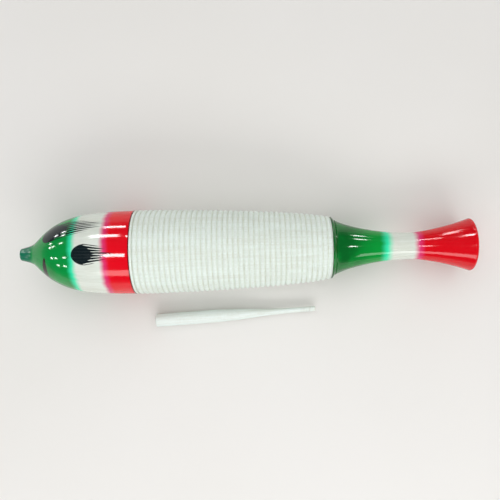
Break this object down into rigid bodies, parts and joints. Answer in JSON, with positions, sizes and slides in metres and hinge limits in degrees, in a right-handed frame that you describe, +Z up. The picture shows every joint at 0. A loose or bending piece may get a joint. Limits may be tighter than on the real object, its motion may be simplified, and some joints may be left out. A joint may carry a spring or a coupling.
{
  "type": "fish guiro",
  "caption": "Turned wooden guiro shaped like a fish: painted head and flared tail, bare ridged hollow barrel with finger holes underneath, and a loose scraper stick.",
  "frame": {"origin": "on the table, under the middle of the box round the guiro and its scraper", "axes": "+X runs along the guiro in plan, from the nose to the tail; +Z is up from the table; the scraper lies on the -Y side"},
  "size_m": [0.4008, 0.1084, 0.0755],
  "materials": {
    "red_lacquer": "gloss lacquer over turned wood",
    "bare_wood": "bare turned wood, matt",
    "green_lacquer": "gloss lacquer over turned wood",
    "stick_wood": "bare turned wood, matt"
  },
  "bodies": {
    "guiro": {"head": "red_lacquer", "ridged_barrel": "bare_wood", "tail": "green_lacquer"},
    "scraper": {"scraper": "stick_wood"}
  },
  "joints": [
    {"name": "scraper_lift", "type": "slide", "parent": "guiro", "child": "scraper", "axis": [0, 0, 1], "range_m": [0, 0.12]}
  ]
}
